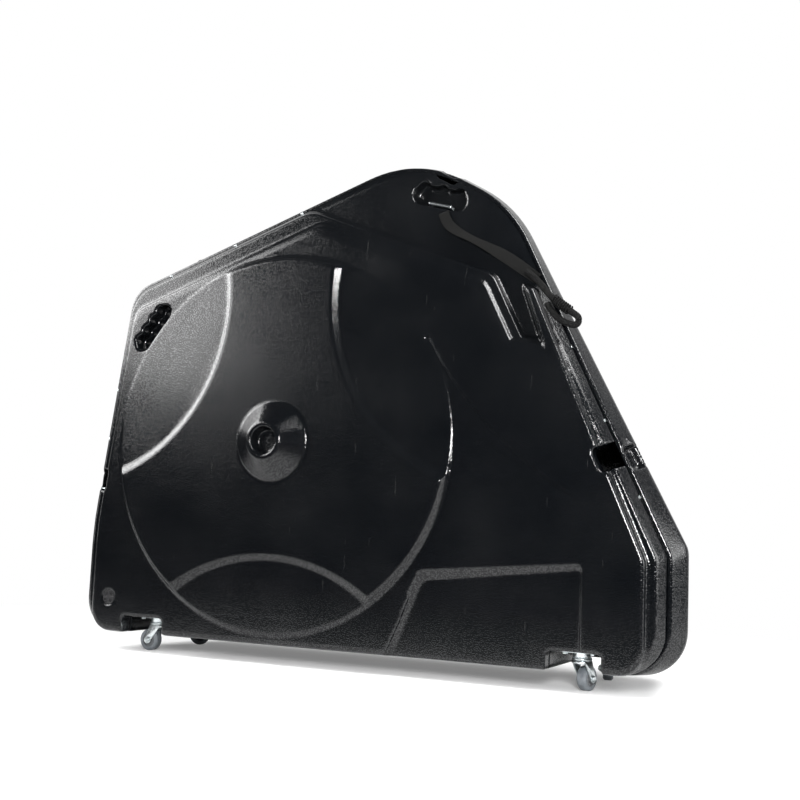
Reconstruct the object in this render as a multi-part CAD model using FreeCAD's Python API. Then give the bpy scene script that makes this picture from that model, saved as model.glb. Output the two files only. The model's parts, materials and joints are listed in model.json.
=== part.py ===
import FreeCAD, Part
import math
import os

V = FreeCAD.Vector

# All lengths are millimetres. X runs along the case from the centre of the wheel disc,
# Y runs back from the raised front face, Z runs up from the floor.

# The wheel disc that the case is built round
disc_radius = 340.0
belly_height = 34.0
disc_margin = 17.0
disc_height = belly_height + disc_margin + disc_radius

# Outline of the rear rim, the widest part of the case, corner by corner
left_margin = 93.0
left_reach = disc_radius + left_margin
right_margin = 380.0
right_reach = disc_radius + right_margin
left_bend_height = 230.0
shoulder_inset = 59.0
shoulder_drop = 36.0
shoulder_height = disc_height + disc_radius - shoulder_drop
crown_inset = 477.0
crown_x = right_reach - crown_inset
crown_rise = 179.0
crown_height = disc_height + disc_radius + crown_rise
brow_inset = 300.0
brow_x = right_reach - brow_inset
brow_drop = 103.0
brow_height = crown_height - brow_drop
right_bend_height = 231.0
bottom_left_radius = 60.0
left_bend_radius = 600.0
shoulder_radius = 60.0
crown_radius = 205.0
brow_radius = 230.0
right_bend_radius = 30.0
bottom_right_radius = 70.0

# Walls, seam and depths
wall = 4.0
cut_overrun = 5.0
case_depth = 290.0
seam_depth = 30.0
seam_gap = 0.8
seam_step = 26.0
seam_inset_shares = ((0.85, 0.0), (0.85, 0.0), (0.88, -0.38), (-0.12, -0.50),
                     (-0.08, -0.42), (-1.0, -0.50), (-1.0, 0.0))
rim_crest_depth = 57.0
rim_crest_width = 9.0
rim_back_step = 4.0
rim_back_bevel = 3.0
base_lip = 6.0
base_lip_wall = 9.0
base_taper = 50.0
rear_edge = 7.0
rear_edge_depth = 6.0

# Front rim, ledge, raised face and head of the lid
rim_band = 12.0
lid_edge_back = 1.5
lid_edge_in = 0.5
head_plane_depth = 24.0
ledge_depth = 10.0
ledge_bevel = 2.0
lid_seat_wall = 6.5
lid_seat_length = 7.0
ledge_inset = 5.0
head_seat_wall = 8.0
head_wall_inset = 14.0
step_draft = 3.0
ramp_run = 8.0
head_size = 228.0
step_start_share = 0.665
step_corner_shares = (-0.083, -0.518)
channel_left_end_shares = (0.154, -1.0)
channel_right_end_shares = (0.294, -1.025)
ridge_tip_shares = (0.145, -0.606)
ridge_tip_rim_share = 0.237
step_start_radius = 55.0
step_corner_radius = 35.0
channel_corner_radius = 4.0
ridge_tip_radius = 3.0
ledge_width_left = 11.0
ledge_width_top = 26.0
ledge_width_head = 8.0
ledge_width_channel = 12.0
ledge_width_right = 16.0
ridge_shoulder = 2.0
face_bevel_left = 8.0
face_bevel_top = 20.0
face_bevel_head = 28.0
face_bevel_channel = 15.0
face_bevel_ramp = 16.0
face_bevel_ridge = 5.0
face_bevel_right = 4.0
face_bevel_bottom = 6.0
face_round_depth = 2.5
face_round_share = 0.45
face_corner_radius = 34.0
face_bottom_radius = 40.0

# Steps of the wheel disc, its three lens-shaped petals and hub cone
disc_rise = 6.0
disc_draft = 5.0
lobe_rise = 6.0
lobe_draft = 4.0
petal_radius = 345.0
petal_inner = 180.0
petal_reach = petal_radius + petal_inner
lower_petal_inner = 203.0
lower_petal_reach = petal_radius + lower_petal_inner
petal_slope = 10.0
petals = ((30.0, petal_reach), (150.0, petal_reach), (270.0, lower_petal_reach))
petal_tilt = 1.8
hub_height = 34.0
hub_base_radius = 71.0
hub_top_radius = 32.5
hub_hole_radius = 25.0
hub_hole_floor_radius = 21.0
hub_hole_depth = 22.0

# Curved groove right of the disc and the shallow recess at the lower right
groove_shares = ((0.838, 0.541), (1.159, 0.1), (1.603, -0.25))
groove_width = 9.0
groove_depth = 2.0
recess_foot_inset = 494.0
recess_foot_x = right_reach - recess_foot_inset
recess_corner_inset = 432.0
recess_corner_x = right_reach - recess_corner_inset
recess_corner_height = 172.0
recess_end_inset = 160.0
recess_end_x = right_reach - recess_end_inset
recess_end_height = 202.0
recess_depth = 6.0
recess_slope = 9.0
recess_corner_radius = 22.0
recess_foot_radius = 6.0

# Hand holds, one in the head and one beside the disc
head_hold_shift = 47.0
head_hold_x = crown_x + head_hold_shift
head_hold_drop = 87.0
head_hold_height = crown_height - head_hold_drop
head_hold_tilt = -15.0
head_hold_length = 104.0
head_hold_width = 36.0
head_hold_depth = 24.0
head_hold_fingers = 3
left_hold_angle = 142.4
left_hold_gap = 2.0
left_hold_length = 102.0
left_hold_width = 30.0
left_hold_depth = 28.0
left_hold_fingers = 4
finger_radius_share = 0.62
finger_rise_share = 0.14

# Strap notches in both rims, and the small lug and slot on the rear rim
notch_length = 41.0
notch_radius = 7.0
right_notch_height = 379.0
right_notch_depth = 36.0
left_notch_height = 320.0
left_notch_depth = 30.0
top_notch_shift = 61.0
top_notch_x = crown_x + top_notch_shift
top_notch_depth = 10.0
rim_notch_depth = 18.0
rim_top_notch_depth = 10.0
rim_notch_back = 64.0
lug_inset = 210.0
lug_x = lug_inset - left_reach
lug_radius = 6.0
lug_length = 12.0
lug_rise = 3.5
slot_width = 8.0
slot_height = 6.0
slot_length = 12.0
slot_depth = 41.0
slot_inset = 4.0

# Caster wells, casters and their fasteners
well_width = 92.0
well_ceiling = 65.0
well_back = 272.0
well_radius = 9.0
left_well_inset = 165.0
left_well_x = left_well_inset - left_reach
right_well_inset = 166.0
right_well_x = right_reach - right_well_inset
front_pivot_depth = 58.0
rear_pivot_depth = 226.0
wheel_radius = 20.0
tyre_width = 18.0
tyre_round = 3.0
wheel_core_radius = 13.0
core_flange = 1.5
core_dish = 3.0
core_hub_radius = 6.5
axle_radius = 3.0
running_fit = 0.05
side_play = 0.5
fork_gap = 21.0
fork_plate = 2.0
fork_trail = 16.0
fork_crown_radius = 17.0
fork_crown_height = 45.0
fork_crown_thickness = 3.0
fork_foot_radius = 7.0
axle_head_radius = 5.0
axle_head_thickness = 3.0
axle_end = 1.5
axle_nut_radius = 5.5
bearing_gap = 0.3
bearing_height = 6.0
bearing_outer = 16.5
bearing_inner = 9.0
bearing_round = 2.0
kingpin_radius = 4.0
kingpin_head_radius = 7.5
kingpin_head_thickness = 2.0
kingpin_top_radius = 6.0
kingpin_top_thickness = 2.0
plate_length = 60.0
plate_width = 50.0
plate_thickness = 3.0
plate_radius = 5.0
race_radius = 15.0
bolt_span_x = 46.0
bolt_span_y = 36.0
bolt_radius = 2.5
bolt_head_radius = 4.5
bolt_head_thickness = 3.0
bolt_end = 1.0
nut_thickness = 4.0
backing_thickness = 2.0
hex_sides = 6

# Rest headings of the four casters, degrees about the pivot
caster_headings = {"front_left": 180.0, "front_right": 75.0, "rear_left": 214.0, "rear_right": 104.0}

# Tongue strips inside the lid rim and their rivets
tongue_thickness = 3.0
tongue_play = 0.2
tongue_reach = 12.0
tongue_notch_play = 6.0
rivet_depth = 26.5
rivet_radius = 1.25
rivet_head_radius = 2.6
rivet_head_proud = 0.5
rivet_head_seat = 2.2
rivet_tail_radius = 2.2
rivet_tail_thickness = 1.0
rivet_fit = 0.1
rivet_height_shares = (0.16, 0.37, 0.58)
rivet_slope_shares = (0.14, 0.38, 0.62)

# Plug in the lower left corner of the face
plug_inset = 87.0
plug_x = plug_inset - left_reach
plug_rise = 63.0
plug_height = belly_height + plug_rise
plug_radius = 13.0
plug_fit = 0.15
plug_sunk = 1.0
plug_rim = 2.0
plug_cup = 2.5
plug_cross = 4.0
plug_flange = 3.0
plug_flange_thickness = 3.0

# Foam sheets in the two halves
foam_thickness = 20.0
foam_inset = 64.0
foam_bottom_raise = 52.0
foam_gap = 0.3
lid_foam_thickness = 10.0
lid_foam_margin = 24.0
lid_foam_radius = disc_radius - lid_foam_margin

# Pull strap: webbing on the head, a cord-like hand loop and the winding on its grip. The routes
# start at the head hand hold's centre: X and Z from there, Y as everywhere.
strap_width = 21.0
strap_thickness = 2.4
strap_lift = 0.4
strap_route = ((10.0, -28.0), (16.0, -47.0), (35.0, -63.0), (60.0, -77.0), (90.0, -93.0), (119.0, -109.0),
               (153.0, -132.0), (184.0, -156.0))
staple_radius = 3.0
staple_span = 40.0
staple_height = 12.0
staple_drop = 11.0
loop_radius = 5.5
loop_route = ((166.0, 15.5, -142.0), (185.0, 15.5, -158.0), (202.0, 8.0, -177.0), (213.0, 5.0, -191.0),
              (251.0, 4.0, -219.0), (262.0, 4.0, -227.0), (259.0, 4.0, -240.0), (243.0, 4.0, -237.0),
              (218.0, 5.0, -222.0), (207.0, 6.0, -201.0))
bend_share = 0.45
winding_wire = 1.35
winding_play = 0.35
winding_turns = 8
winding_pitch = 4.2
arcs_per_turn = 4
samples_per_turn = 24

mid_x = (right_reach - left_reach) / 2
front_reach = disc_rise + lobe_rise + hub_height
mid_y = (case_depth - front_reach) / 2
origin_shift = V(-mid_x, -mid_y, 0)

BOTTOM = 6


def unit(a, b):
    """Direction from one outline point to another."""
    length = math.hypot(b[0] - a[0], b[1] - a[1])
    return ((b[0] - a[0]) / length, (b[1] - a[1]) / length)


def along(a, b, distance):
    """Point at a distance from a towards b."""
    d = unit(a, b)
    return (a[0] + d[0] * distance, a[1] + d[1] * distance)


def moved(points, shifts):
    """Outline whose sides are each moved outwards by their own shift."""
    lines = []
    count = len(points)
    for i in range(count):
        a, b = points[i], points[(i + 1) % count]
        d = unit(a, b)
        lines.append(((a[0] - d[1] * shifts[i], a[1] + d[0] * shifts[i]), d))
    out = []
    for i in range(count):
        (p, d), (q, e) = lines[i - 1], lines[i]
        cross = d[0] * e[1] - d[1] * e[0]
        t = ((q[0] - p[0]) * e[1] - (q[1] - p[1]) * e[0]) / cross
        out.append((p[0] + d[0] * t, p[1] + d[1] * t))
    return out


def grown(points, shift, bottom=0.0):
    """Seven-sided outline moved by one shift on every side but the bottom."""
    shifts = [shift] * len(points)
    shifts[BOTTOM] = bottom
    return moved(points, shifts)


def rounded(points, radii, y):
    """Closed wire through an outline with round corners, in the plane at depth y."""
    count = len(points)
    corners = []
    for i in range(count):
        at = points[i]
        u, w = unit(at, points[i - 1]), unit(at, points[(i + 1) % count])
        half = math.acos(u[0] * w[0] + u[1] * w[1]) / 2
        reach = radii[i] / math.tan(half)
        middle = along(at, (at[0] + u[0] + w[0], at[1] + u[1] + w[1]), radii[i] / math.sin(half) - radii[i])
        corners.append((along(at, points[i - 1], reach), middle, along(at, points[(i + 1) % count], reach)))
    edges = []
    for i in range(count):
        start, middle, end = [V(p[0], y, p[1]) for p in corners[i]]
        following = corners[(i + 1) % count][0]
        edges.append(Part.Arc(start, middle, end).toShape())
        edges.append(Part.makeLine(end, V(following[0], y, following[1])))
    return Part.Wire(edges)


def stack(levels):
    """Solid with straight flanks through outlines given as (depth, points, radii)."""
    return Part.makeLoft([rounded(points, radii, y) for y, points, radii in levels], True, True)


def prism(points, radii, y_front, y_back):
    """Straight solid of one outline between two depths."""
    return Part.Face(rounded(points, radii, y_front)).extrude(V(0, y_back - y_front, 0))


def cone(x, z, y_from, radius_from, y_to, radius_to):
    """Cone or cylinder about an axis along Y."""
    base = V(x, y_from, z)
    length = abs(y_to - y_from)
    axis = V(0, math.copysign(1, y_to - y_from), 0)
    if math.isclose(radius_from, radius_to):
        return Part.makeCylinder(radius_from, length, base, axis)
    return Part.makeCone(radius_from, radius_to, length, base, axis)


def export(shape, name):
    """Move a finished piece into the part frame and write it."""
    placed = shape.copy()
    placed.translate(origin_shift)
    placed.exportStep("parts/" + name + ".step")
    print("%-26s solids %d volume %.0f valid %s" % (name, len(placed.Solids), placed.Volume, placed.isValid()))


# Outlines shared by both halves
rim_points = [(-left_reach, belly_height), (-left_reach, left_bend_height),
              (-left_reach + shoulder_inset, shoulder_height), (crown_x, crown_height),
              (brow_x, brow_height), (right_reach, right_bend_height), (right_reach, belly_height)]
rim_radii = [bottom_left_radius, left_bend_radius, shoulder_radius, crown_radius,
             brow_radius, right_bend_radius, bottom_right_radius]
seam_points = [(p[0] + s[0] * seam_step, p[1] + s[1] * seam_step)
               for p, s in zip(rim_points, seam_inset_shares)]


def level(y, points, shift=0.0, bottom=0.0):
    """Level of a stack: an outline moved by a shift, its wide head corners kept concentric."""
    radii = list(rim_radii)
    radii[3] += shift
    radii[4] += shift
    return (y, grown(points, shift, bottom), radii)


# Ledge outline of the lid: the rim moved in, with the head and its channel left out
ledge_rim = grown(seam_points, -rim_band)
step_start = along(ledge_rim[2], ledge_rim[3], step_start_share * math.dist(ledge_rim[2], ledge_rim[3]))
brow = seam_points[4]


def head_point(shares):
    """Point of the head given as shares of its size from the brow corner."""
    return (brow[0] + shares[0] * head_size, brow[1] + shares[1] * head_size)


ridge_rim = along(ledge_rim[4], ledge_rim[5], ridge_tip_rim_share * math.dist(ledge_rim[4], ledge_rim[5]))
head_turns = [head_point(shares) for shares in (step_corner_shares, channel_left_end_shares,
                                                channel_right_end_shares, ridge_tip_shares)]
ledge_points = ledge_rim[0:3] + [step_start] + head_turns + [ridge_rim] + ledge_rim[5:7]
ledge_radii = rim_radii[0:3] + [step_start_radius, step_corner_radius, channel_corner_radius,
                                channel_corner_radius, ridge_tip_radius, ridge_tip_radius] + rim_radii[5:7]
body_foot = moved(ledge_points, [rim_band, rim_band, rim_band, step_draft, step_draft, ramp_run, step_draft,
                                 step_draft, rim_band, rim_band, 0.0])
crest_points = moved(ledge_points, [-ledge_width_left, -ledge_width_left, -ledge_width_top, -ledge_width_head,
                                    -ledge_width_channel, -ridge_shoulder, -ridge_shoulder, -ridge_shoulder,
                                    -ledge_width_right, -ledge_width_right, 0.0])
crest_points[8] = along(ledge_points[8], ledge_points[6], ridge_shoulder)
crest_radii = [face_bottom_radius, left_bend_radius, face_corner_radius, step_start_radius, step_corner_radius,
               channel_corner_radius, channel_corner_radius, ridge_tip_radius, ridge_tip_radius,
               right_bend_radius, face_bottom_radius]
face_bevels = [face_bevel_left, face_bevel_left, face_bevel_top, face_bevel_head, face_bevel_channel,
               face_bevel_ramp, face_bevel_ridge, face_bevel_ridge, face_bevel_right, face_bevel_right,
               face_bevel_bottom]


def face_outline(share):
    """Outline on the flank of the raised face, from its foot to its top edge."""
    return moved(crest_points, [-b * share for b in face_bevels])


def without_ridge(points, radii):
    """Outline that passes below the narrow ridge beside the channel."""
    height = points[6][1]
    a, b = points[8], points[9]
    t = (height - a[1]) / (b[1] - a[1])
    end = (a[0] + (b[0] - a[0]) * t, height)
    return points[0:6] + [end] + points[9:11], radii[0:6] + [channel_corner_radius] + radii[9:11]


def pocket(x, z, tilt, length, width, fingers, y_front, y_back, grow):
    """Pill-shaped hand hold with scallops for the fingers along its upper side."""
    half = width / 2 + grow
    run = length - width
    body = Part.makeBox(run, y_back - y_front, half * 2, V(-run / 2, y_front, -half))
    for end in (-run / 2, run / 2):
        body = body.fuse(cone(end, 0, y_front, half, y_back, half))
    finger = width / 2 * finger_radius_share + grow
    rise = width / 2 * (1 - finger_radius_share) + width * finger_rise_share
    for i in range(fingers):
        place = -run / 2 + run * i / (fingers - 1)
        body = body.fuse(cone(place, rise, y_front, finger, y_back, finger))
    body = body.removeSplitter()
    body.rotate(V(0, 0, 0), V(0, 1, 0), -tilt)
    body.translate(V(x, 0, z))
    return body


def side_frame(points, side, place):
    """Point on a side at a share of its length, with its direction and outward normal."""
    a, b = points[side], points[(side + 1) % len(points)]
    d = unit(a, b)
    at = (a[0] + (b[0] - a[0]) * place, a[1] + (b[1] - a[1]) * place)
    return at, d, (-d[1], d[0])


def notch(points, side, place, depth, y_front, y_back, grow):
    """Cut across a rim, rounded at its inner corners."""
    at, d, n = side_frame(points, side, place)
    half = notch_length / 2 + grow
    reach = depth + grow
    corners = [(-half, -reach), (-half, rim_notch_depth * 2), (half, rim_notch_depth * 2), (half, -reach)]
    shape = [(at[0] + d[0] * s + n[0] * t, at[1] + d[1] * s + n[1] * t) for s, t in corners]
    return prism(shape, [notch_radius] * len(shape), y_front, y_back)


def height_share(points, side, height):
    a, b = points[side], points[side + 1]
    return (height - a[1]) / (b[1] - a[1])


def width_share(points, side, x):
    a, b = points[side], points[side + 1]
    return (x - a[0]) / (b[0] - a[0])


notch_sides = (1, 3, 4)
lid_notch_depths = (left_notch_depth, top_notch_depth, right_notch_depth)
rim_notch_depths = (rim_notch_depth, rim_top_notch_depth, rim_notch_depth)


def notch_cuts(points, depths, y_front, y_back, grow):
    """The three notches of one half: left, top and right."""
    shares = (height_share(points, 1, left_notch_height), width_share(points, 3, top_notch_x),
              height_share(points, 4, right_notch_height))
    return [notch(points, side, share, depth, y_front, y_back, grow)
            for side, share, depth in zip(notch_sides, shares, depths)]


def well(x, y_front, y_back, grow):
    """Space for two casters under the case, open below."""
    half = well_width / 2 + grow
    top = well_ceiling + grow
    points = [(x - half, -top), (x - half, top), (x + half, top), (x + half, -top)]
    return prism(points, [well_radius + grow] * len(points), y_front, y_back)


def petal_floor(heading, inner, floor):
    """Block under the floor of a petal, which falls away from its inner edge towards the disc's edge."""
    side = disc_radius * 2
    block = Part.makeBox(side, side, side, V(-disc_radius, floor, 0))
    block.rotate(V(0, floor, inner), V(1, 0, 0), -petal_tilt)
    block.rotate(V(0, 0, 0), V(0, 1, 0), 90 - heading)
    block.translate(V(0, 0, disc_height))
    return block


def disc_solid(grow):
    """Wheel disc, three-pointed lobe and hub cone, shrunk by a wall for the inside."""
    back = ledge_depth + grow
    foot = cone(0, disc_height, back, disc_radius - grow, grow, disc_radius - grow)
    outer = disc_radius - grow - disc_draft
    disc = foot.fuse(cone(0, disc_height, grow, disc_radius - grow, grow - disc_rise, outer))
    lobe_top = grow - disc_rise - lobe_rise
    lobe = cone(0, disc_height, grow - disc_rise, outer, lobe_top, outer - lobe_draft)
    steepness = petal_slope / lobe_rise
    floor = grow - disc_rise
    cuts = []
    for heading, reach in petals:
        angle = math.radians(heading)
        x, z = reach * math.cos(angle), disc_height + reach * math.sin(angle)
        start = petal_radius + grow - petal_slope / 2
        petal = cone(x, z, grow, start - steepness * disc_rise, lobe_top - cut_overrun,
                     start + steepness * (lobe_rise + cut_overrun))
        cuts.append(petal.cut(petal_floor(heading, reach - petal_radius, floor)))
    hub_top = -front_reach + grow
    hub = cone(0, disc_height, lobe_top, hub_base_radius - grow, hub_top, hub_top_radius - grow)
    return disc.fuse([lobe, hub]).cut(cuts)


def hub_hole(grow):
    """Round recess in the end of the hub cone."""
    return cone(0, disc_height, -front_reach, hub_hole_radius + grow,
                -front_reach + hub_hole_depth + grow, hub_hole_floor_radius + grow)


def groove():
    """Shallow curved groove with sloping flanks beside the disc."""
    a, b, c = [V(s[0] * disc_radius, 0, disc_height + s[1] * disc_radius) for s in groove_shares]
    circle = Part.Arc(a, b, c).toShape().Curve
    centre, radius = circle.Center, circle.Radius
    out = (a - centre).normalize()
    half = groove_width / 2
    lift = groove_width / groove_depth
    corners = [centre + out * (radius - half * lift) + V(0, -groove_depth * (lift - 1), 0),
               centre + out * (radius + half * lift) + V(0, -groove_depth * (lift - 1), 0),
               centre + out * radius + V(0, groove_depth, 0)]
    face = Part.Face(Part.makePolygon(corners + corners[:1]))
    sweep = math.degrees((a - centre).getAngle(c - centre))
    turn = (a - centre).cross(c - centre)
    return face.revolve(centre, V(0, math.copysign(1, turn.y), 0), sweep)


def lower_recess(grow):
    """Shallow recess at the lower right, deepest at its left end."""
    below = belly_height - cut_overrun
    points = [(recess_foot_x, below), (recess_corner_x, recess_corner_height),
              (recess_end_x, recess_end_height), (recess_end_x, below)]
    radii = [recess_foot_radius, recess_corner_radius, recess_foot_radius, recess_foot_radius]
    spread = recess_slope * cut_overrun / recess_depth
    front = moved(points, [spread + grow, spread + grow, cut_overrun, cut_overrun])
    floor = moved(points, [grow - recess_slope, grow - recess_slope, cut_overrun, cut_overrun])
    shape = stack([(-cut_overrun, front, radii), (recess_depth + grow, floor, radii)])
    lean = math.degrees(math.atan2(recess_depth, recess_end_x - recess_foot_x))
    shape.rotate(V(recess_end_x, 0, 0), V(0, 0, 1), -lean)
    return shape


def hand_holds(grow, front=-cut_overrun):
    """Both hand holds as solids that start at a depth behind the surface they open in."""
    distance = disc_radius + left_hold_gap + left_hold_width / 2
    angle = math.radians(left_hold_angle)
    head = pocket(head_hold_x, head_hold_height, head_hold_tilt, head_hold_length, head_hold_width,
                  head_hold_fingers, head_plane_depth + front, head_plane_depth + head_hold_depth + grow, grow)
    left = pocket(distance * math.cos(angle), disc_height + distance * math.sin(angle), left_hold_angle - 90,
                  left_hold_length, left_hold_width, left_hold_fingers, front, left_hold_depth + grow, grow)
    return [head, left]


def rivet_places():
    """Places of the tongue rivets on the seam outline as (point, direction, normal)."""
    places = []
    for side, shares in ((1, rivet_height_shares), (2, rivet_slope_shares), (4, rivet_height_shares)):
        for share in shares:
            share = 1 - share if side == 4 else share
            places.append(side_frame(seam_points, side, share))
    return places


def radial(place, inset, radius, length):
    """Cylinder across the rim, from an inset below the seam outline outwards."""
    at, d, n = place
    base = V(at[0] - n[0] * inset, rivet_depth, at[1] - n[1] * inset)
    return Part.makeCylinder(radius, length, base, V(n[0], 0, n[1]))


def make_lid_shell():
    edge_y = seam_depth - lid_edge_back
    slab = stack([level(seam_depth, seam_points, -lid_edge_in), level(edge_y, seam_points),
                  level(head_plane_depth, seam_points, -rim_band)])
    bevelled = moved(ledge_points, [-ledge_bevel] * 10 + [0.0])
    body = stack([(edge_y, body_foot, ledge_radii),
                  (ledge_depth + ledge_bevel, ledge_points, ledge_radii),
                  (ledge_depth, bevelled, ledge_radii)])
    face = stack([(ledge_depth + ledge_bevel, crest_points, crest_radii),
                  (face_round_depth, face_outline(face_round_share), crest_radii),
                  (0, face_outline(1), crest_radii)])
    outer = slab.fuse([body, face, disc_solid(0)] + hand_holds(wall, wall))
    cuts = hand_holds(0) + [hub_hole(0), groove(), lower_recess(0)]
    cuts += notch_cuts(seam_points, lid_notch_depths, -cut_overrun, seam_depth + cut_overrun, 0)
    cuts += [well(x, -cut_overrun, seam_depth + cut_overrun, 0) for x in (left_well_x, right_well_x)]
    outer = outer.cut(cuts)

    open_y = seam_depth + cut_overrun
    head_room = stack([level(open_y, seam_points, -head_seat_wall, -wall),
                       level(seam_depth, seam_points, -head_seat_wall, -wall),
                       level(head_plane_depth + wall, seam_points, -head_wall_inset, -wall)])
    inner_ledge, inner_radii = without_ridge(ledge_points, ledge_radii)
    seat = [rim_band - lid_seat_wall] * 3 + [-wall] * 3 + [rim_band - lid_seat_wall] * 2 + [-wall]
    seat_points = moved(inner_ledge, seat)
    ledge_room = moved(inner_ledge, [-ledge_inset] * 8 + [-wall])
    body_room = stack([(open_y, seat_points, inner_radii),
                       (seam_depth - lid_seat_length, seat_points, inner_radii),
                       (ledge_depth + wall, ledge_room, inner_radii)])
    crest_room, crest_room_radii = without_ridge(crest_points, crest_radii)
    face_room_points, face_room_radii = without_ridge(face_outline(1), crest_radii)
    shrink = [-wall] * 9
    face_room = stack([(ledge_depth + wall + ledge_bevel, moved(crest_room, shrink), crest_room_radii),
                       (wall, moved(face_room_points, shrink), face_room_radii)])
    inner = head_room.fuse([body_room, face_room, disc_solid(wall)])
    keep = hand_holds(wall) + [hub_hole(wall), lower_recess(wall)]
    keep += notch_cuts(seam_points, lid_notch_depths, -cut_overrun, open_y, wall)
    keep += [well(x, -cut_overrun, open_y, wall) for x in (left_well_x, right_well_x)]
    inner = inner.cut(keep)
    shell = outer.cut(inner)
    holes = [cone(plug_x, plug_height, -cut_overrun, plug_radius, wall + cut_overrun, plug_radius)]
    for place in rivet_places():
        holes.append(radial(place, lid_seat_wall + cut_overrun, rivet_radius + rivet_fit,
                            lid_seat_wall + cut_overrun * 2))
        holes.append(radial(place, rivet_head_seat, rivet_head_radius + rivet_fit, cut_overrun * 2))
    return shell.cut(holes)


def make_base_shell():
    front = seam_depth + seam_gap
    crest_back = rim_crest_depth + rim_crest_width
    flank = crest_back + rim_back_bevel
    outer = stack([level(front, seam_points, base_lip), level(rim_crest_depth, rim_points),
                   level(crest_back, rim_points), level(flank, rim_points, -rim_back_step),
                   level(case_depth - rear_edge_depth, rim_points, -base_taper),
                   level(case_depth, rim_points, -base_taper - rear_edge, -rear_edge)])
    lug_at, d, n = side_frame(rim_points, 2, width_share(rim_points, 2, lug_x))
    lug = cone(lug_at[0] + n[0] * (lug_rise - lug_radius), lug_at[1] + n[1] * (lug_rise - lug_radius),
               rim_crest_depth - lug_length / 2, lug_radius, rim_crest_depth + lug_length / 2, lug_radius)
    outer = outer.fuse(lug)
    wells = (left_well_x, right_well_x)
    cuts = [well(x, front - cut_overrun, well_back, 0) for x in wells]
    cuts += notch_cuts(rim_points, rim_notch_depths, front - cut_overrun, rim_notch_back, 0)
    at, d, n = side_frame(rim_points, 4, height_share(rim_points, 4, right_notch_height))
    inset = rim_notch_depth - slot_inset
    reach = notch_length / 2
    slot_points = [(-reach - slot_length, -inset), (-reach - slot_length, slot_width - inset),
                   (-reach + cut_overrun, slot_width - inset), (-reach + cut_overrun, -inset)]
    slot_shape = [(at[0] + d[0] * s + n[0] * t, at[1] + d[1] * s + n[1] * t) for s, t in slot_points]
    cuts.append(prism(slot_shape, [slot_height / 4] * len(slot_shape), slot_depth, slot_depth + slot_height))
    outer = outer.cut(cuts)

    crest_wall = wall + rim_back_step
    lip_inset = base_lip_wall - base_lip
    inner = stack([level(front - cut_overrun, seam_points, -lip_inset, -wall),
                   level(front, seam_points, -lip_inset, -wall),
                   level(rim_crest_depth, rim_points, -crest_wall, -wall),
                   level(flank, rim_points, -crest_wall, -wall),
                   level(case_depth - rear_edge_depth, rim_points, -base_taper - wall, -wall),
                   level(case_depth - wall, rim_points, -base_taper - rear_edge, -rear_edge)])
    keep = [well(x, front - cut_overrun * 2, well_back + wall, wall) for x in wells]
    keep += notch_cuts(rim_points, rim_notch_depths, front - cut_overrun * 2, rim_notch_back + wall, wall)
    inner = inner.cut(keep)
    shell = outer.cut(inner)
    holes = []
    for x, y in pivots().values():
        for bx, by in bolt_places(x, y):
            holes.append(Part.makeCylinder(bolt_radius + running_fit, wall * 3, V(bx, by, well_ceiling - wall)))
    return shell.cut(holes)


def make_tongue():
    """Strips inside the lid rim that reach into the base, clear of the notches and the head."""
    start = seam_depth - lid_seat_length + tongue_play
    end = seam_depth + tongue_reach
    outside = -lid_seat_wall - tongue_play
    inside = outside - tongue_thickness
    ring = stack([level(start, seam_points, outside), level(end, seam_points, outside)])
    ring = ring.cut(stack([level(start - cut_overrun, seam_points, inside, wall),
                           level(end + cut_overrun, seam_points, inside, wall)]))
    whole = left_reach + right_reach
    bottom = belly_height + wall + max(bottom_left_radius, bottom_right_radius) + tongue_play
    low = Part.makeBox(whole * 2, whole, bottom, V(-whole, -whole / 2, 0))
    head_left, head_right = ledge_points[3], ledge_points[6]
    top = head_right[1] - wall - channel_corner_radius - tongue_play
    head = Part.makeBox(whole, whole, whole, V(head_left[0] - step_start_radius, -whole / 2, top))
    cuts = [low, head]
    cuts += notch_cuts(seam_points, lid_notch_depths, start - cut_overrun, end + cut_overrun, tongue_notch_play)
    cuts += notch_cuts(rim_points, rim_notch_depths, start - cut_overrun, end + cut_overrun,
                       tongue_notch_play)
    for place in rivet_places():
        cuts.append(radial(place, lid_seat_wall * 3, rivet_radius + rivet_fit, lid_seat_wall * 3))
    return ring.cut(cuts)


def make_rivets():
    """Rivets through the lid rim and the tongue strips, as separate solids."""
    rivets = []
    back = lid_seat_wall + tongue_play + tongue_thickness
    for place in rivet_places():
        head = radial(place, rivet_head_seat, rivet_head_radius, rivet_head_seat + rivet_head_proud)
        shank = radial(place, back, rivet_radius, back)
        tail = radial(place, back + rivet_tail_thickness, rivet_tail_radius, rivet_tail_thickness)
        head = head.common(radial(place, back, rivet_head_radius, back + rivet_head_proud))
        rivets.append(shank.fuse([head, tail]).removeSplitter())
    return Part.makeCompound(rivets)


def make_plug():
    """Round plug with a cross in its cup, held by a flange behind the face."""
    radius = plug_radius - plug_fit
    back = wall + plug_fit
    body = cone(plug_x, plug_height, plug_sunk, radius, back + plug_flange_thickness, radius)
    flange = cone(plug_x, plug_height, back, plug_radius + plug_flange, back + plug_flange_thickness,
                  plug_radius + plug_flange)
    cup = cone(plug_x, plug_height, plug_sunk - cut_overrun, radius - plug_rim, plug_sunk + plug_cup,
               radius - plug_rim)
    half = plug_cross / 2
    bar = Part.makeBox(radius * 2, cut_overrun * 2, plug_cross, V(plug_x - radius, plug_sunk - cut_overrun,
                                                                 plug_height - half))
    post = Part.makeBox(plug_cross, cut_overrun * 2, radius * 2, V(plug_x - half, plug_sunk - cut_overrun,
                                                                  plug_height - radius))
    return body.fuse(flange).cut(cup.cut([bar, post])).removeSplitter()


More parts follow.
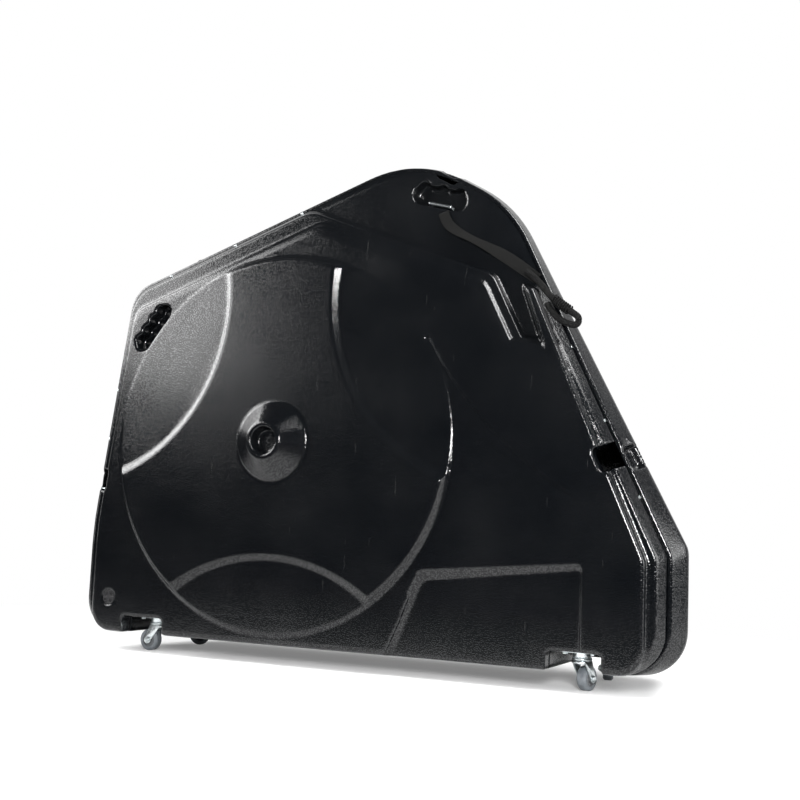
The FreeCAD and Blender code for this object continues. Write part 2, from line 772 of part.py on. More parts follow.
def make_base_foam():
    """Foam sheet against the back wall of the base."""
    back = case_depth - wall - foam_gap
    return stack([level(y, rim_points, -foam_inset, -foam_bottom_raise) for y in (back - foam_thickness, back)])


def make_lid_foam():
    """Round foam sheet behind the wheel disc."""
    fall = math.tan(math.radians(petal_tilt)) * (lid_foam_radius - petal_reach + petal_radius)
    front = wall - disc_rise + fall + foam_gap
    return cone(0, disc_height, front, lid_foam_radius, front + lid_foam_thickness, lid_foam_radius)


def pivots():
    """Swivel axis of each caster."""
    return {"front_left": (left_well_x, front_pivot_depth), "front_right": (right_well_x, front_pivot_depth),
            "rear_left": (left_well_x, rear_pivot_depth), "rear_right": (right_well_x, rear_pivot_depth)}


def bolt_places(x, y):
    return [(x + sx * bolt_span_x / 2, y + sy * bolt_span_y / 2) for sx in (-1, 1) for sy in (-1, 1)]


def hexagon(radius, base, direction, length):
    """Hexagonal bar across an axis."""
    axis = V(*direction)
    side = V(0, 0, 1) if abs(axis.z) < 0.5 else V(1, 0, 0)
    other = axis.cross(side)
    corners = []
    for i in range(hex_sides):
        angle = math.radians(i * 360 / hex_sides)
        corners.append(V(*base) + side * (radius * math.cos(angle)) + other * (radius * math.sin(angle)))
    return Part.Face(Part.makePolygon(corners + corners[:1])).extrude(axis * length)


def ring_of(profile, axis_point, axis):
    """Solid of revolution of a closed profile."""
    return Part.Face(Part.makePolygon(profile + profile[:1])).revolve(axis_point, axis, 360)


def caster_pieces():
    """One caster about a pivot at the origin, trailing along +X, as named solids."""
    plate_top = well_ceiling
    plate_bottom = plate_top - plate_thickness
    crown_top = fork_crown_height + fork_crown_thickness
    race_bottom = crown_top + bearing_gap + bearing_height
    half_l, half_w = plate_length / 2, plate_width / 2
    flat = prism([(-half_l, -half_w), (-half_l, half_w), (half_l, half_w), (half_l, -half_w)],
                 [plate_radius] * 4, -plate_top, -plate_bottom)
    flat.rotate(V(0, 0, 0), V(1, 0, 0), -90)
    race = Part.makeCylinder(race_radius, plate_bottom - race_bottom, V(0, 0, race_bottom))
    plate = flat.fuse(race)
    bore = Part.makeCylinder(kingpin_radius + running_fit, plate_top, V(0, 0, race_bottom - cut_overrun))
    pin_seat = plate_bottom - kingpin_top_thickness
    top_room = Part.makeCylinder(kingpin_top_radius + bearing_gap, plate_top, V(0, 0, pin_seat))
    holes = [Part.makeCylinder(bolt_radius + running_fit, plate_thickness * 3,
                               V(bx, by, plate_bottom - plate_thickness))
             for bx, by in bolt_places(0, 0)]
    plate = plate.cut([bore, top_room] + holes).removeSplitter()

    low, high, b = crown_top + bearing_gap, race_bottom, bearing_round
    bearing = ring_of([V(bearing_inner, 0, low), V(bearing_outer - b, 0, low), V(bearing_outer, 0, low + b),
                       V(bearing_outer, 0, high - b), V(bearing_outer - b, 0, high), V(bearing_inner, 0, high)],
                      V(0, 0, 0), V(0, 0, 1))

    pin_bottom = fork_crown_height - kingpin_head_thickness
    kingpin = Part.makeCylinder(kingpin_radius, pin_seat + bearing_gap + kingpin_top_thickness - pin_bottom,
                                V(0, 0, pin_bottom))
    kingpin = kingpin.fuse([Part.makeCylinder(kingpin_head_radius, kingpin_head_thickness, V(0, 0, pin_bottom)),
                            Part.makeCylinder(kingpin_top_radius, kingpin_top_thickness,
                                              V(0, 0, pin_seat + bearing_gap))]).removeSplitter()

    outer_half = fork_gap / 2 + fork_plate
    crown = Part.makeCylinder(fork_crown_radius, fork_crown_thickness, V(0, 0, fork_crown_height))
    crown = crown.common(Part.makeBox(fork_crown_radius * 2, outer_half * 2, crown_top,
                                      V(-fork_crown_radius, -outer_half, 0)))
    chord = math.sqrt(fork_crown_radius ** 2 - outer_half ** 2)
    legs = []
    for y in (-outer_half, fork_gap / 2):
        foot = Part.makeCylinder(fork_foot_radius, fork_plate, V(fork_trail, y, wheel_radius), V(0, 1, 0))
        leg = Part.Face(Part.makePolygon([V(-chord, y, crown_top), V(chord, y, crown_top),
                                          V(fork_trail + fork_foot_radius, y, wheel_radius),
                                          V(fork_trail - fork_foot_radius, y, wheel_radius),
                                          V(-chord, y, crown_top)])).extrude(V(0, fork_plate, 0))
        legs += [foot, leg]
    fork = crown.fuse(legs)
    pin_hole = Part.makeCylinder(kingpin_radius + running_fit, crown_top * 2, V(0, 0, 0))
    axle_hole = Part.makeCylinder(axle_radius + running_fit, outer_half * 4,
                                  V(fork_trail, -outer_half * 2, wheel_radius), V(0, 1, 0))
    fork = fork.cut([pin_hole, axle_hole]).removeSplitter()

    axle_from = -outer_half - axle_head_thickness
    axle_to = outer_half + axle_head_thickness + axle_end
    axle = Part.makeCylinder(axle_radius, axle_to - axle_from,
                             V(fork_trail, axle_from, wheel_radius), V(0, 1, 0))
    axle = axle.fuse(hexagon(axle_head_radius, (fork_trail, axle_from, wheel_radius), (0, 1, 0),
                             axle_head_thickness)).removeSplitter()
    nut = hexagon(axle_nut_radius, (fork_trail, outer_half, wheel_radius), (0, 1, 0), axle_head_thickness)
    nut = nut.cut(Part.makeCylinder(axle_radius + running_fit, outer_half * 2, V(fork_trail, 0, wheel_radius),
                                    V(0, 1, 0)))

    centre = V(fork_trail, 0, wheel_radius)
    hub_half = fork_gap / 2 - side_play
    rim_half = tyre_width / 2
    bore_r = axle_radius + running_fit
    dish = rim_half - core_dish
    profile = []
    for r, y in ((bore_r, -hub_half), (core_hub_radius, -hub_half), (core_hub_radius, -dish),
                 (wheel_core_radius - core_flange, -dish), (wheel_core_radius - core_flange, -rim_half),
                 (wheel_core_radius, -rim_half), (wheel_core_radius, rim_half),
                 (wheel_core_radius - core_flange, rim_half), (wheel_core_radius - core_flange, dish),
                 (core_hub_radius, dish), (core_hub_radius, hub_half), (bore_r, hub_half)):
        profile.append(centre + V(r, y, 0))
    core = ring_of(profile, centre, V(0, 1, 0))
    profile = []
    for r, y in ((wheel_core_radius, -rim_half), (wheel_radius - tyre_round, -rim_half),
                 (wheel_radius, -rim_half + tyre_round), (wheel_radius, rim_half - tyre_round),
                 (wheel_radius - tyre_round, rim_half), (wheel_core_radius, rim_half)):
        profile.append(centre + V(r, y, 0))
    tyre = ring_of(profile, centre, V(0, 1, 0))
    fixed = {"plate": plate, "bearing": bearing}
    turning = {"fork": fork, "kingpin": kingpin, "axle": axle, "axle_nut": nut,
               "wheel_core": core, "tyre": tyre}
    return fixed, turning


def make_caster_fasteners():
    """Bolts, nuts and backing plates of all four casters."""
    bolts, nuts, backings = [], [], []
    plate_bottom = well_ceiling - plate_thickness
    shelf = well_ceiling + wall
    for x, y in pivots().values():
        sheet = Part.makeBox(plate_length, plate_width, backing_thickness,
                             V(x - plate_length / 2, y - plate_width / 2, shelf))
        for bx, by in bolt_places(x, y):
            head_from = plate_bottom - bolt_head_thickness
            nut_from = shelf + backing_thickness
            end = nut_from + nut_thickness + bolt_end
            bolt = Part.makeCylinder(bolt_radius, end - head_from, V(bx, by, head_from))
            bolt_head = hexagon(bolt_head_radius, (bx, by, head_from), (0, 0, 1), bolt_head_thickness)
            bolts.append(bolt.fuse(bolt_head).removeSplitter())
            hole = Part.makeCylinder(bolt_radius + running_fit, end * 2, V(bx, by, 0))
            nuts.append(hexagon(bolt_head_radius, (bx, by, nut_from), (0, 0, 1), nut_thickness).cut(hole))
            sheet = sheet.cut(hole)
        backings.append(sheet)
    return [Part.makeCompound(group) for group in (bolts, nuts, backings)]


def round_route(points):
    """Wire of straight runs joined by tangent arcs as large as the runs allow."""
    edges = []
    here = points[0]
    radii = []
    for i in range(1, len(points) - 1):
        u, w = points[i - 1] - points[i], points[i + 1] - points[i]
        half = u.getAngle(w) / 2
        reach = bend_share * min(u.Length, w.Length)
        u.normalize()
        w.normalize()
        radius = reach * math.tan(half)
        radii.append(radius)
        bisector = (u + w).normalize()
        start, end = points[i] + u * reach, points[i] + w * reach
        middle = points[i] + bisector * (radius / math.sin(half) - radius)
        edges += [Part.makeLine(here, start), Part.Arc(start, middle, end).toShape()]
        here = end
    edges.append(Part.makeLine(here, points[-1]))
    return Part.Wire(edges), radii


def strap_plane():
    return head_plane_depth - strap_lift - strap_thickness


def make_strap():
    """Flat webbing from the head hand hold along the head plane."""
    y = strap_plane()
    points = [V(head_hold_x + x, y, head_hold_height + z) for x, z in strap_route]
    wire, radii = round_route(points)
    print("strap bend radii", [round(r) for r in radii])
    across = (points[1] - points[0]).cross(V(0, 1, 0)).normalize() * (strap_width / 2)
    through = V(0, strap_thickness, 0)
    start = points[0]
    corners = [start + across, start + across + through, start - across + through, start - across]
    return wire.makePipeShell([Part.makePolygon(corners + corners[:1])], True, False)


def loop_points():
    return [V(head_hold_x + x, y, head_hold_height + z) for x, y, z in loop_route]


def make_loop():
    """Rounded end of the strap, folded into a hand loop."""
    wire, radii = round_route(loop_points())
    print("hand loop bend radii", [round(r) for r in radii])
    points = loop_points()
    profile = Part.Wire(Part.makeCircle(loop_radius, points[0], points[1] - points[0]))
    tube = wire.makePipeShell([profile], True, False)
    print("hand loop volume share %.3f" % (tube.Volume / (math.pi * loop_radius ** 2 * wire.Length)))
    return tube


def winding_path():
    """Helix of half-turn arcs about the straight grip of the hand loop."""
    points = loop_points()
    start, end = points[3], points[4]
    axis = (end - start).normalize()
    side = axis.cross(V(0, 1, 0)).normalize()
    other = axis.cross(side)
    radius = loop_radius + winding_play + winding_wire
    length = winding_turns * winding_pitch
    middle = (start + end) * 0.5 - axis * (length / 2)

    def at(turn):
        angle = 2 * math.pi * turn
        return middle + axis * (winding_pitch * turn) + side * (radius * math.cos(angle)) + other * (
            radius * math.sin(angle))

    return at, axis, side, other


def make_winding():
    """One unbroken cord wound round the grip."""
    at, axis, side, other = winding_path()
    edges = []
    for i in range(winding_turns * arcs_per_turn):
        a, b = i / arcs_per_turn, (i + 1) / arcs_per_turn
        edges.append(Part.Arc(at(a), at((a + b) / 2), at(b)).toShape())
    first, last = edges[0], edges[-1]
    tangent = first.tangentAt(first.FirstParameter)
    leaving = last.tangentAt(last.LastParameter)
    start, end = at(0) - tangent * (2 * winding_wire), at(winding_turns) + leaving * (2 * winding_wire)
    wire = Part.Wire([Part.makeLine(start, at(0))] + edges + [Part.makeLine(at(winding_turns), end)])
    profile = Part.Wire(Part.makeCircle(winding_wire, start, tangent))
    tube = wire.makePipeShell([profile], True, False)
    samples = [at(i / samples_per_turn) for i in range(winding_turns * samples_per_turn + 1)]
    least = min((samples[i] - samples[j]).Length for i in range(len(samples))
                for j in range(i + samples_per_turn // 2, len(samples)))
    print("winding least gap to itself %.2f" % (least - 2 * winding_wire))
    return tube


def make_staple():
    """Steel staple on the floor of the head hand hold that the strap is looped on."""
    floor = head_plane_depth + head_hold_depth
    bar_y = floor - staple_height
    half = staple_span / 2
    bar = Part.makeCylinder(staple_radius, staple_span, V(-half, bar_y, -staple_drop), V(1, 0, 0))
    parts = []
    for x in (-half, half):
        parts.append(Part.makeCylinder(staple_radius, floor - bar_y, V(x, bar_y, -staple_drop), V(0, 1, 0)))
        parts.append(Part.makeSphere(staple_radius, V(x, bar_y, -staple_drop)))
    staple = bar.fuse(parts).removeSplitter()
    staple.rotate(V(0, 0, 0), V(0, 1, 0), -head_hold_tilt)
    staple.translate(V(head_hold_x, 0, head_hold_height))
    return staple


def main():
    os.makedirs("parts", exist_ok=True)
    export(make_base_shell(), "base_shell")
    export(make_lid_shell(), "lid_shell")
    export(make_tongue(), "rim_tongues")
    export(make_rivets(), "tongue_rivets")
    export(make_plug(), "corner_plug")
    export(make_base_foam(), "base_foam")
    export(make_lid_foam(), "lid_foam")
    export(make_strap(), "pull_strap")
    export(make_loop(), "hand_loop")
    export(make_winding(), "grip_winding")
    export(make_staple(), "strap_staple")
    bolts, nuts, backings = make_caster_fasteners()
    export(bolts, "caster_bolts")
    export(nuts, "caster_nuts")
    export(backings, "caster_backings")
    fixed, turning = caster_pieces()
    for caster, (x, y) in pivots().items():
        for name, shape in fixed.items():
            placed = shape.copy()
            placed.translate(V(x, y, 0))
            export(placed, caster + "_" + name)
        for name, shape in turning.items():
            placed = shape.copy()
            placed.rotate(V(0, 0, 0), V(0, 0, 1), caster_headings[caster])
            placed.translate(V(x, y, 0))
            export(placed, caster + "_" + name)


main()
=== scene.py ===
import json
import math

import bpy
from mathutils import Matrix, Vector


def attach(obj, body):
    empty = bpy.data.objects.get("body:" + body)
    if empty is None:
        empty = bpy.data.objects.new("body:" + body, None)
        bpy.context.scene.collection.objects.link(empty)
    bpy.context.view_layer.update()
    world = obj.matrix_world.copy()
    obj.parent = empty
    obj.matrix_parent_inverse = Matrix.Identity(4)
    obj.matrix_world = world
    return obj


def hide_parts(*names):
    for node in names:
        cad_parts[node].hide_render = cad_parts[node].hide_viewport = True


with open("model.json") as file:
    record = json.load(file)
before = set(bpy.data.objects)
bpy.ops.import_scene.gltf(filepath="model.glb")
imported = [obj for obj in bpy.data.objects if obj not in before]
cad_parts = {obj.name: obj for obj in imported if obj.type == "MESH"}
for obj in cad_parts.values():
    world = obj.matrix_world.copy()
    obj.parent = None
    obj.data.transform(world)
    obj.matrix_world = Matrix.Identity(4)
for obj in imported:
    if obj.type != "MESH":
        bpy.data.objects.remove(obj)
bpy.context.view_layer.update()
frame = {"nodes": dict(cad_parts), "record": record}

nodes = frame["nodes"]
scene = bpy.context.scene
scene.view_settings.view_transform = "Standard"

# Places on the case are in millimetres, x from the wheel disc's axis and z from the floor,
# and case_point moves them to the part's own origin in metres
FRAME_SHIFT = Vector((0.1435, 0.122, 0.0))
HEAD_HOLD = (290, 823)
CASTERS = ("front_left", "front_right", "rear_left", "rear_right")


def case_point(x, y, z):
    return Vector((x, y, z)) / 1000 - FRAME_SHIFT


# Camera

CAMERA_PLACE = (1065.3, -1787.3, 237.9)
CAMERA_YAW = math.radians(24.744)
CAMERA_PITCH = math.radians(6.571)
CAMERA_ROLL = math.radians(2.363)
LENS_LENGTH = 52.21
SENSOR_WIDTH = 36
NEAREST_SEEN = 0.05


def set_camera():
    level = math.cos(CAMERA_PITCH)
    ahead = Vector((-math.sin(CAMERA_YAW) * level, math.cos(CAMERA_YAW) * level, math.sin(CAMERA_PITCH)))
    right = Vector((math.cos(CAMERA_YAW), math.sin(CAMERA_YAW), 0))
    up = right.cross(ahead)
    tilted_right = right * math.cos(CAMERA_ROLL) + up * math.sin(CAMERA_ROLL)
    tilted_up = up * math.cos(CAMERA_ROLL) - right * math.sin(CAMERA_ROLL)
    lens = bpy.data.cameras.new("front_camera")
    lens.sensor_width = SENSOR_WIDTH
    lens.lens = LENS_LENGTH
    lens.clip_start = NEAREST_SEEN
    camera = bpy.data.objects.new("front_camera", lens)
    scene.collection.objects.link(camera)
    turn = Matrix((tilted_right, tilted_up, -ahead)).transposed().to_4x4()
    camera.matrix_world = Matrix.Translation(case_point(*CAMERA_PLACE)) @ turn
    scene.camera = camera


set_camera()


# Node helpers

# The part of its range that a noise texture mostly fills
NOISE_LOW = 0.3
NOISE_HIGH = 0.7


def add(tree, kind, values=None, **settings):
    """New node with its properties, and its input values by socket name or number."""
    node = tree.nodes.new(kind)
    for key, value in settings.items():
        setattr(node, key, value)
    for key, value in (values or {}).items():
        node.inputs[key].default_value = value
    return node


def soft_step(tree, start, end):
    """Smooth rise from 0 at start to 1 at end."""
    return add(tree, "ShaderNodeMapRange", {"From Min": start, "From Max": end},
               interpolation_type="SMOOTHSTEP")


def new_group(name, inputs, outputs):
    group = bpy.data.node_groups.new(name, "ShaderNodeTree")
    for label, kind, value in inputs:
        group.interface.new_socket(label, in_out="INPUT", socket_type=kind).default_value = value
    for label in outputs:
        group.interface.new_socket(label, in_out="OUTPUT", socket_type="NodeSocketFloat")
    return group, group.nodes.new("NodeGroupInput"), group.nodes.new("NodeGroupOutput")


def make_pebble_grain():
    """Moulded pebble grain: flat-topped cells with soft valleys, and the slow unevenness of the sheet."""
    valley, top = 0.62, 0.25
    finer, fine_height = 1.5, 0.7
    group, given, result = new_group(
        "pebble_grain",
        [("Vector", "NodeSocketVector", (0, 0, 0)), ("Cells", "NodeSocketFloat", 400.0),
         ("Waves", "NodeSocketFloat", 7.0)],
        ("Height", "Blotch"))
    cells = add(group, "ShaderNodeTexVoronoi")
    tops = soft_step(group, valley, top)
    fine = add(group, "ShaderNodeTexNoise", {"Detail": 2.0, "Roughness": 0.6})
    slow = add(group, "ShaderNodeTexNoise", {"Detail": 3.0, "Roughness": 0.55})
    fine_scale = add(group, "ShaderNodeMath", {1: finer}, operation="MULTIPLY")
    height = add(group, "ShaderNodeMath", {1: fine_height}, operation="MULTIPLY_ADD")
    link = group.links.new
    for texture in (cells, fine, slow):
        link(given.outputs["Vector"], texture.inputs["Vector"])
    link(given.outputs["Cells"], cells.inputs["Scale"])
    link(given.outputs["Cells"], fine_scale.inputs[0])
    link(fine_scale.outputs[0], fine.inputs["Scale"])
    link(given.outputs["Waves"], slow.inputs["Scale"])
    link(cells.outputs["Distance"], tops.inputs["Value"])
    link(fine.outputs["Fac"], height.inputs[0])
    link(tops.outputs["Result"], height.inputs[2])
    link(height.outputs[0], result.inputs["Height"])
    link(slow.outputs["Fac"], result.inputs["Blotch"])
    return group


def make_scuffs():
    """Mask of sparse pale specks and faint drawn-out scratches."""
    group, given, result = new_group(
        "scuffs",
        [("Vector", "NodeSocketVector", (0, 0, 0)), ("Specks", "NodeSocketFloat", 60.0)],
        ("Mask",))
    specks = add(group, "ShaderNodeTexNoise", {"Detail": 5.0, "Roughness": 0.75})
    stretch = add(group, "ShaderNodeMapping", {"Rotation": (0.2, 0.5, 0.9), "Scale": (7.0, 0.6, 0.6)})
    drawn = add(group, "ShaderNodeTexNoise", {"Scale": 22.0, "Detail": 3.0, "Roughness": 0.6})
    speck_mask = add(group, "ShaderNodeMapRange", {"From Min": 0.70, "From Max": 0.80})
    drawn_mask = add(group, "ShaderNodeMapRange", {"From Min": 0.68, "From Max": 0.78, "To Max": 0.5})
    either = add(group, "ShaderNodeMath", operation="MAXIMUM")
    link = group.links.new
    link(given.outputs["Vector"], specks.inputs["Vector"])
    link(given.outputs["Specks"], specks.inputs["Scale"])
    link(given.outputs["Vector"], stretch.inputs["Vector"])
    link(stretch.outputs["Vector"], drawn.inputs["Vector"])
    link(specks.outputs["Fac"], speck_mask.inputs["Value"])
    link(drawn.outputs["Fac"], drawn_mask.inputs["Value"])
    link(speck_mask.outputs["Result"], either.inputs[0])
    link(drawn_mask.outputs["Result"], either.inputs[1])
    link(either.outputs[0], result.inputs["Mask"])
    return group


pebble_grain = make_pebble_grain()
scuffs = make_scuffs()


def new_material(name):
    material = bpy.data.materials.new(name)
    material.use_nodes = True
    tree = material.node_tree
    return material, tree, tree.nodes["Principled BSDF"], add(tree, "ShaderNodeTexCoord")


def placed(tree, group, where, **values):
    """Group node on Object coordinates with its own values."""
    node = add(tree, "ShaderNodeGroup", node_tree=group)
    for key, value in values.items():
        node.inputs[key].default_value = value
    tree.links.new(where.outputs["Object"], node.inputs["Vector"])
    return node


def two_colours(tree, source, low, high, start=NOISE_LOW, end=NOISE_HIGH):
    """Colour that goes from low to high as the source goes from start to end."""
    node = add(tree, "ShaderNodeValToRGB")
    for element, place, colour in zip(node.color_ramp.elements, (start, end), (low, high)):
        element.position = place
        element.color = (*colour, 1)
    tree.links.new(source, node.inputs["Fac"])
    return node.outputs["Color"]


def mapped(tree, source, low, high, start=NOISE_LOW, end=NOISE_HIGH):
    """Value that goes from low to high as the source goes from start to end."""
    node = add(tree, "ShaderNodeMapRange",
               {"From Min": start, "From Max": end, "To Min": low, "To Max": high})
    tree.links.new(source, node.inputs["Value"])
    return node.outputs["Result"]


def over(tree, colour, mask, top, strength):
    """Colour with another laid over it where a mask is set."""
    weaker = add(tree, "ShaderNodeMath", {1: strength}, operation="MULTIPLY")
    mix = add(tree, "ShaderNodeMix", {"B": (*top, 1)}, data_type="RGBA")
    tree.links.new(mask, weaker.inputs[0])
    tree.links.new(weaker.outputs[0], mix.inputs["Factor"])
    tree.links.new(colour, mix.inputs["A"])
    return mix.outputs["Result"]


def bump(tree, shader, height, strength, distance):
    node = add(tree, "ShaderNodeBump", {"Strength": strength, "Distance": distance})
    tree.links.new(height, node.inputs["Height"])
    tree.links.new(node.outputs["Normal"], shader.inputs["Normal"])


# Finishes

SCUFF_GREY = (0.06, 0.06, 0.058)
ZINC_DARK = (0.50, 0.54, 0.55)
ZINC_LIGHT = (0.70, 0.74, 0.75)
ZINC_SPECK = (0.16, 0.15, 0.14)
TYRE_DARK = (0.085, 0.095, 0.105)
TYRE_DUSTY = (0.16, 0.175, 0.19)
FOAM_DARK = (0.030, 0.030, 0.033)
FOAM_LIGHT = (0.055, 0.055, 0.058)
# The pit colour below is painted shade laid in the foam's pits
FOAM_PIT_SHADE = (0.012, 0.012, 0.013)
# The yarn colour below is painted shade, laid in the valleys of the weave and between braided strands
PAINTED_YARN_SHADE = (0.001, 0.001, 0.001)
WEBBING_TOP = (0.009, 0.0092, 0.0088)
YARN_SPECULAR = 0.12


def make_moulded_plastic(name, dark, light, cells, relief, roughness):
    """Moulded plastic with a pebble grain that shines on its tops, faint blotches and a few pale scuffs."""
    roughness_spread = 0.07
    valley_specular, top_specular = 0.22, 0.6
    material, tree, shader, where = new_material(name)
    grain = placed(tree, pebble_grain, where, Cells=cells)
    marks = placed(tree, scuffs, where)
    height, blotch = grain.outputs["Height"], grain.outputs["Blotch"]
    colour = two_colours(tree, blotch, dark, light)
    scuffed = over(tree, colour, marks.outputs["Mask"], SCUFF_GREY, strength=0.4)
    rough = mapped(tree, blotch, roughness, roughness + roughness_spread)
    specular = mapped(tree, height, valley_specular, top_specular, start=0.3, end=1.25)
    tree.links.new(scuffed, shader.inputs["Base Color"])
    tree.links.new(rough, shader.inputs["Roughness"])
    tree.links.new(specular, shader.inputs["Specular IOR Level"])
    bump(tree, shader, height, strength=0.5, distance=relief)
    return material


def make_zinc_steel():
    """Bright zinc plate with drawn brush marks and dull grey specks."""
    material, tree, shader, where = new_material("bright_zinc")
    stretch = add(tree, "ShaderNodeMapping", {"Scale": (30.0, 30.0, 400.0)})
    brush = add(tree, "ShaderNodeTexNoise", {"Scale": 8.0, "Detail": 3.0})
    marks = placed(tree, scuffs, where, Specks=160.0)
    tree.links.new(where.outputs["Object"], stretch.inputs["Vector"])
    tree.links.new(stretch.outputs["Vector"], brush.inputs["Vector"])
    colour = two_colours(tree, brush.outputs["Fac"], ZINC_DARK, ZINC_LIGHT)
    specked = over(tree, colour, marks.outputs["Mask"], ZINC_SPECK, strength=1.0)
    tree.links.new(specked, shader.inputs["Base Color"])
    tree.links.new(mapped(tree, brush.outputs["Fac"], low=0.22, high=0.38), shader.inputs["Roughness"])
    bump(tree, shader, brush.outputs["Fac"], strength=0.12, distance=0.0002)
    shader.inputs["Metallic"].default_value = 1.0
    return material


def make_tyre_rubber():
    """Hard blue-grey rubber with floor dust worked into it."""
    material, tree, shader, where = new_material("hard_tyre")
    grain = placed(tree, pebble_grain, where, Cells=1100.0, Waves=70.0)
    colour = two_colours(tree, grain.outputs["Blotch"], TYRE_DARK, TYRE_DUSTY, start=0.35, end=0.65)
    tree.links.new(colour, shader.inputs["Base Color"])
    tree.links.new(mapped(tree, grain.outputs["Blotch"], low=0.45, high=0.65), shader.inputs["Roughness"])
    bump(tree, shader, grain.outputs["Height"], strength=0.3, distance=0.0003)
    return material


def make_open_foam():
    """Open-cell foam: pitted cells over a dull grey, with painted shade darkening the pits."""
    material, tree, shader, where = new_material("open_foam")
    pits = add(tree, "ShaderNodeTexVoronoi", {"Scale": 420.0})
    slow = add(tree, "ShaderNodeTexNoise", {"Scale": 14.0, "Detail": 3.0})
    for texture in (pits, slow):
        tree.links.new(where.outputs["Object"], texture.inputs["Vector"])
    colour = two_colours(tree, slow.outputs["Fac"], FOAM_DARK, FOAM_LIGHT)
    # Painted shade: each pit is darker towards its middle
    painted_pit_shade = mapped(tree, pits.outputs["Distance"], low=0.6, high=0.0, start=0.0, end=0.5)
    tree.links.new(over(tree, colour, painted_pit_shade, FOAM_PIT_SHADE, strength=1.0), shader.inputs["Base Color"])
    tree.links.new(mapped(tree, slow.outputs["Fac"], low=0.85, high=1.0), shader.inputs["Roughness"])
    bump(tree, shader, pits.outputs["Distance"], strength=0.8, distance=0.0012)
    return material


def make_webbing():
    """Woven webbing on the strap's own UV map, in metres: ribs crossed by yarns, with fuzz on top, and
    painted shade in the low parts of the weave.
    """
    fuzz_height = 0.45
    material, tree, shader, where = new_material("strap_webbing")
    weave = []
    for direction, scale in (("X", 170.0), ("Y", 210.0)):
        wave = add(tree, "ShaderNodeTexWave", {"Scale": scale}, bands_direction=direction)
        tree.links.new(where.outputs["UV"], wave.inputs["Vector"])
        weave.append(wave.outputs["Fac"])
    crossed = add(tree, "ShaderNodeMath", operation="MULTIPLY")
    fuzz = add(tree, "ShaderNodeTexNoise", {"Scale": 700.0, "Detail": 3.0})
    height = add(tree, "ShaderNodeMath", {1: fuzz_height}, operation="MULTIPLY_ADD")
    tree.links.new(where.outputs["Object"], fuzz.inputs["Vector"])
    tree.links.new(weave[0], crossed.inputs[0])
    tree.links.new(weave[1], crossed.inputs[1])
    tree.links.new(fuzz.outputs["Fac"], height.inputs[0])
    tree.links.new(crossed.outputs[0], height.inputs[2])
    # Painted shade: the low parts of the weave take the darker colour
    colour = two_colours(tree, height.outputs[0], PAINTED_YARN_SHADE, WEBBING_TOP, start=0.1, end=1.0)
    tree.links.new(colour, shader.inputs["Base Color"])
    tree.links.new(mapped(tree, fuzz.outputs["Fac"], low=0.7, high=0.95), shader.inputs["Roughness"])
    bump(tree, shader, height.outputs[0], strength=0.7, distance=0.0006)
    shader.inputs["Specular IOR Level"].default_value = YARN_SPECULAR
    return material


def make_braid(name, top):
    """Braided cord: plump strands with fuzz between them, and painted shade in the gaps between the strands.
    """
    fuzz_height = 0.3
    material, tree, shader, where = new_material(name)
    strands = add(tree, "ShaderNodeTexVoronoi", {"Scale": 480.0})
    fuzz = add(tree, "ShaderNodeTexNoise", {"Scale": 1500.0, "Detail": 3.0})
    height = add(tree, "ShaderNodeMath", {1: fuzz_height}, operation="MULTIPLY_ADD")
    for texture in (strands, fuzz):
        tree.links.new(where.outputs["Object"], texture.inputs["Vector"])
    plump = mapped(tree, strands.outputs["Distance"], low=1.0, high=0.0, start=0.0, end=0.7)
    tree.links.new(fuzz.outputs["Fac"], height.inputs[0])
    tree.links.new(plump, height.inputs[2])
    # Painted shade: the gaps between strands take the darker colour
    colour = two_colours(tree, height.outputs[0], PAINTED_YARN_SHADE, top, start=0.2, end=1.0)
    tree.links.new(colour, shader.inputs["Base Color"])
    tree.links.new(mapped(tree, fuzz.outputs["Fac"], low=0.7, high=0.95), shader.inputs["Roughness"])
    bump(tree, shader, height.outputs[0], strength=0.6, distance=0.0006)
    shader.inputs["Specular IOR Level"].default_value = YARN_SPECULAR
    return material


case_black = make_moulded_plastic(
    "case_black", dark=(0.002, 0.0024, 0.003), light=(0.004, 0.0044, 0.005),
    cells=400.0, relief=0.00013, roughness=0.10)
plug_black = make_moulded_plastic(
    "plug_black", dark=(0.008, 0.008, 0.009), light=(0.014, 0.014, 0.015),
    cells=1400.0, relief=0.0002, roughness=0.25)
wheel_grey = make_moulded_plastic(
    "wheel_grey", dark=(0.07, 0.075, 0.08), light=(0.11, 0.115, 0.12),
    cells=1200.0, relief=0.0002, roughness=0.45)
bright_zinc = make_zinc_steel()
hard_tyre = make_tyre_rubber()
open_foam = make_open_foam()
strap_webbing = make_webbing()
loop_cord = make_braid("loop_cord", top=(0.010, 0.010, 0.010))
grip_cord = make_braid("grip_cord", top=(0.008, 0.008, 0.008))


# Making pieces from the solids

FASTENER_EDGE = 0.0003
FITTING_EDGE = 0.0004
PLASTIC_EDGE = 0.0005
TYRE_EDGE = 0.0008
FOAM_EDGE = 0.004


def deselect():
    bpy.ops.object.select_all(action="DESELECT")


def activate(piece):
    deselect()
    piece.select_set(True)
    bpy.context.view_layer.objects.active = piece


def body_of(node):
    bodies = frame["record"]["behaviour"]["bodies"]
    return next(body for body, names in bodies.items() if node in names)


def stand_for(piece, node, material):
    """Finish a piece that takes a solid's place."""
    piece.data.materials.clear()
    piece.data.materials.append(material)
    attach(piece, body_of(node))
    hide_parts(node)


def merge_points(distance):
    """Join the active piece's points that lie together, and leave all of them selected."""
    bpy.ops.object.mode_set(mode="EDIT")
    bpy.ops.mesh.select_all(action="SELECT")
    bpy.ops.mesh.remove_doubles(threshold=distance)
    bpy.ops.object.mode_set(mode="OBJECT")


